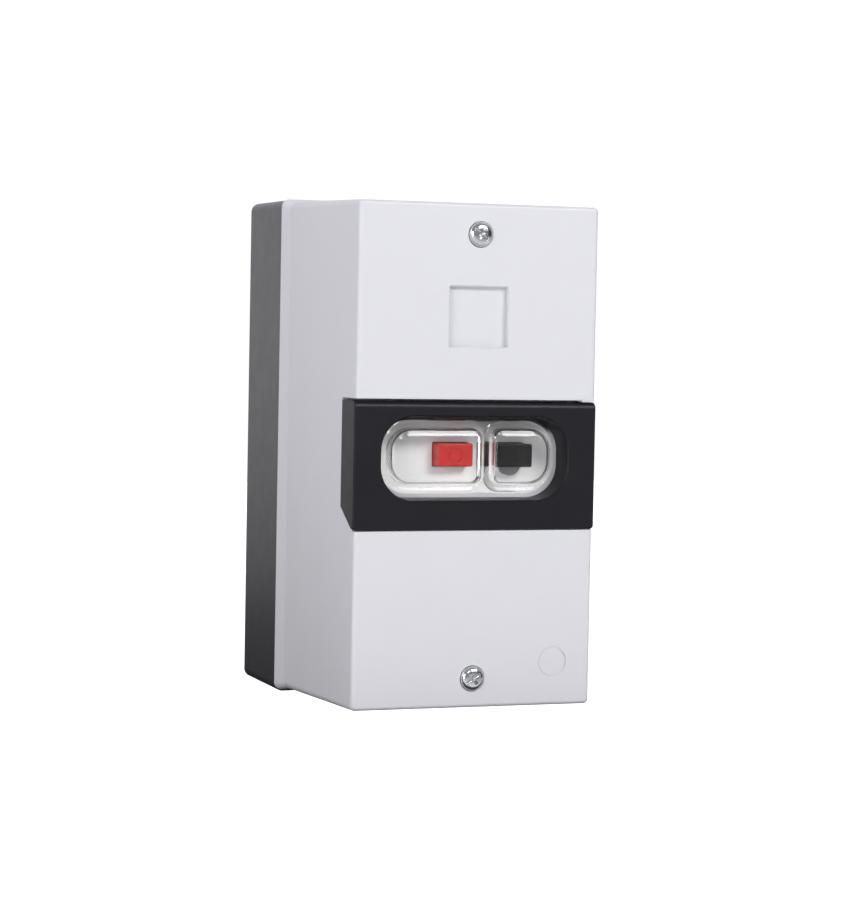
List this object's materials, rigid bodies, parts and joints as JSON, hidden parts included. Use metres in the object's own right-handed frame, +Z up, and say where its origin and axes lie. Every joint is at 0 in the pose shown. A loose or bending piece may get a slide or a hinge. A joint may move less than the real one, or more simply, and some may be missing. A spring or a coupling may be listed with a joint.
{
  "type": "motor protection breaker",
  "caption": "Enclosed motor protection breaker: grey cover on a black base, a black front band with a clear membrane over a red stop and a black start button.",
  "frame": {"origin": "centre of the rear wall-mounting face", "axes": "+Z up, +X to the right as seen from the front, front faces -Y"},
  "size_m": [0.0868, 0.1136, 0.1662],
  "materials": {
    "black_housing": "fine moulded grain",
    "grey_housing": "satin, fine moulded grain",
    "black_trim": "fine moulded grain",
    "clear_silicone": "clear, glossy",
    "seal_rubber": "matt",
    "brass": "machined",
    "zinc_screw": "bright zinc plate",
    "zinc_steel": "zinc plated sheet",
    "breaker_case": "satin moulded",
    "tray_plastic": "satin moulded",
    "black_button": "satin",
    "red_button": "satin",
    "grey_collar": "satin",
    "dial_plastic": "satin",
    "mechanism_plastic": "satin",
    "clip_plastic": "satin",
    "spring_steel": "bright wire",
    "copper": "bright copper",
    "bimetal": "rolled strip",
    "heater_tape": "glass fibre sleeve"
  },
  "bodies": {
    "enclosure": {"arc_chutes_line": "zinc_steel", "arc_chutes_load": "zinc_steel", "base": "black_housing", "bimetal_1": "bimetal", "bimetal_2": "bimetal", "bimetal_3": "bimetal", "breaker_front_case": "breaker_case", "breaker_rear_case": "breaker_case", "case_screws": "zinc_screw", "clip_spring": "spring_steel", "din_rail": "zinc_steel", "earth_screws": "zinc_screw", "earth_terminal": "brass", "fixed_contact_line_1": "copper", "fixed_contact_line_2": "copper", "fixed_contact_line_3": "copper", "fixed_contact_load_1": "copper", "fixed_contact_load_2": "copper", "fixed_contact_load_3": "copper", "heaters": "heater_tape", "magnet_coil_1": "copper", "magnet_coil_2": "copper", "magnet_coil_3": "copper", "magnet_yokes": "zinc_steel", "pillar_inserts": "brass", "rail_screws": "zinc_screw", "start_spring": "spring_steel", "stop_spring": "spring_steel", "terminal_clamps_line": "zinc_steel", "terminal_clamps_load": "zinc_steel", "terminal_screws_line": "zinc_screw", "terminal_screws_load": "zinc_screw", "trip_bar_bearings": "mechanism_plastic"},
    "cover_set": {"cover": "grey_housing", "cover_gasket": "seal_rubber", "cover_screw_upper": "zinc_screw", "cover_screw_lower": "zinc_screw", "screw_o_rings": "seal_rubber", "front_band": "black_trim", "membrane": "clear_silicone", "window_tray": "tray_plastic", "start_collar": "grey_collar"},
    "start": {"start_button": "black_button"},
    "stop": {"stop_button": "red_button"},
    "rocker_body": {"rocker": "mechanism_plastic"},
    "carrier": {"contact_carrier": "mechanism_plastic", "contact_springs": "spring_steel", "moving_contact_1": "copper", "moving_contact_2": "copper", "moving_contact_3": "copper"},
    "dial": {"setting_dial": "dial_plastic"},
    "trip": {"trip_bar": "mechanism_plastic"},
    "latch_body": {"latch": "zinc_steel"},
    "plungers": {"magnet_plungers": "zinc_steel"},
    "clip": {"rail_clip": "clip_plastic"}
  },
  "joints": [
    {"name": "cover_lift", "type": "slide", "parent": "enclosure", "child": "cover_set", "axis": [0, -1, 0], "range_m": [0, 0.08]},
    {"name": "start_press", "type": "slide", "parent": "enclosure", "child": "start", "axis": [0, 1, 0], "range_m": [0, 0.005], "deforming": ["start_spring", "stop_spring"]},
    {"name": "stop_pop", "type": "slide", "parent": "enclosure", "child": "stop", "axis": [0, -1, 0], "range_m": [0, 0.0025]},
    {"name": "rocker_turn", "type": "hinge", "parent": "enclosure", "child": "rocker_body", "pos_m": [0.0027, -0.0824, 0], "axis": [0, 0, 1], "range_deg": [0, 21.39]},
    {"name": "carrier_slide", "type": "slide", "parent": "enclosure", "child": "carrier", "axis": [0, 1, 0], "range_m": [0, 0.003]},
    {"name": "dial_turn", "type": "hinge", "parent": "enclosure", "child": "dial", "pos_m": [-0.009, -0.0964, -0.015], "axis": [0, -1, 0], "range_deg": [-135, 135]},
    {"name": "trip_bar_turn", "type": "hinge", "parent": "enclosure", "child": "trip", "pos_m": [0, -0.075, -0.023], "axis": [-1, 0, 0], "range_deg": [0, 12], "stiffness_Nm_per_rad": 0.004, "springref_deg": -28.65},
    {"name": "latch_turn", "type": "hinge", "parent": "enclosure", "child": "latch_body", "pos_m": [-0.0105, -0.077, -0.009], "axis": [-1, 0, 0], "range_deg": [0, 9.7]},
    {"name": "plungers_fire", "type": "slide", "parent": "enclosure", "child": "plungers", "axis": [0, -1, 0], "range_m": [0, 0.002], "stiffness_N_per_m": 200, "springref_m": -0.002},
    {"name": "rail_clip_pull", "type": "slide", "parent": "enclosure", "child": "clip", "axis": [0, 0, -1], "range_m": [0, 0.0035], "stiffness_N_per_m": 1500, "springref_m": -0.001, "deforming": ["clip_spring"]}
  ],
  "couplings": [
    {"joint": "stop_pop", "follows": "start_press", "ratio": 0.5},
    {"joint": "rocker_turn", "follows": "start_press", "rad_per_m": 74.48},
    {"joint": "carrier_slide", "follows": "start_press", "ratio": 0.6},
    {"joint": "latch_turn", "follows": "trip_bar_turn", "ratio": 0.8}
  ]
}
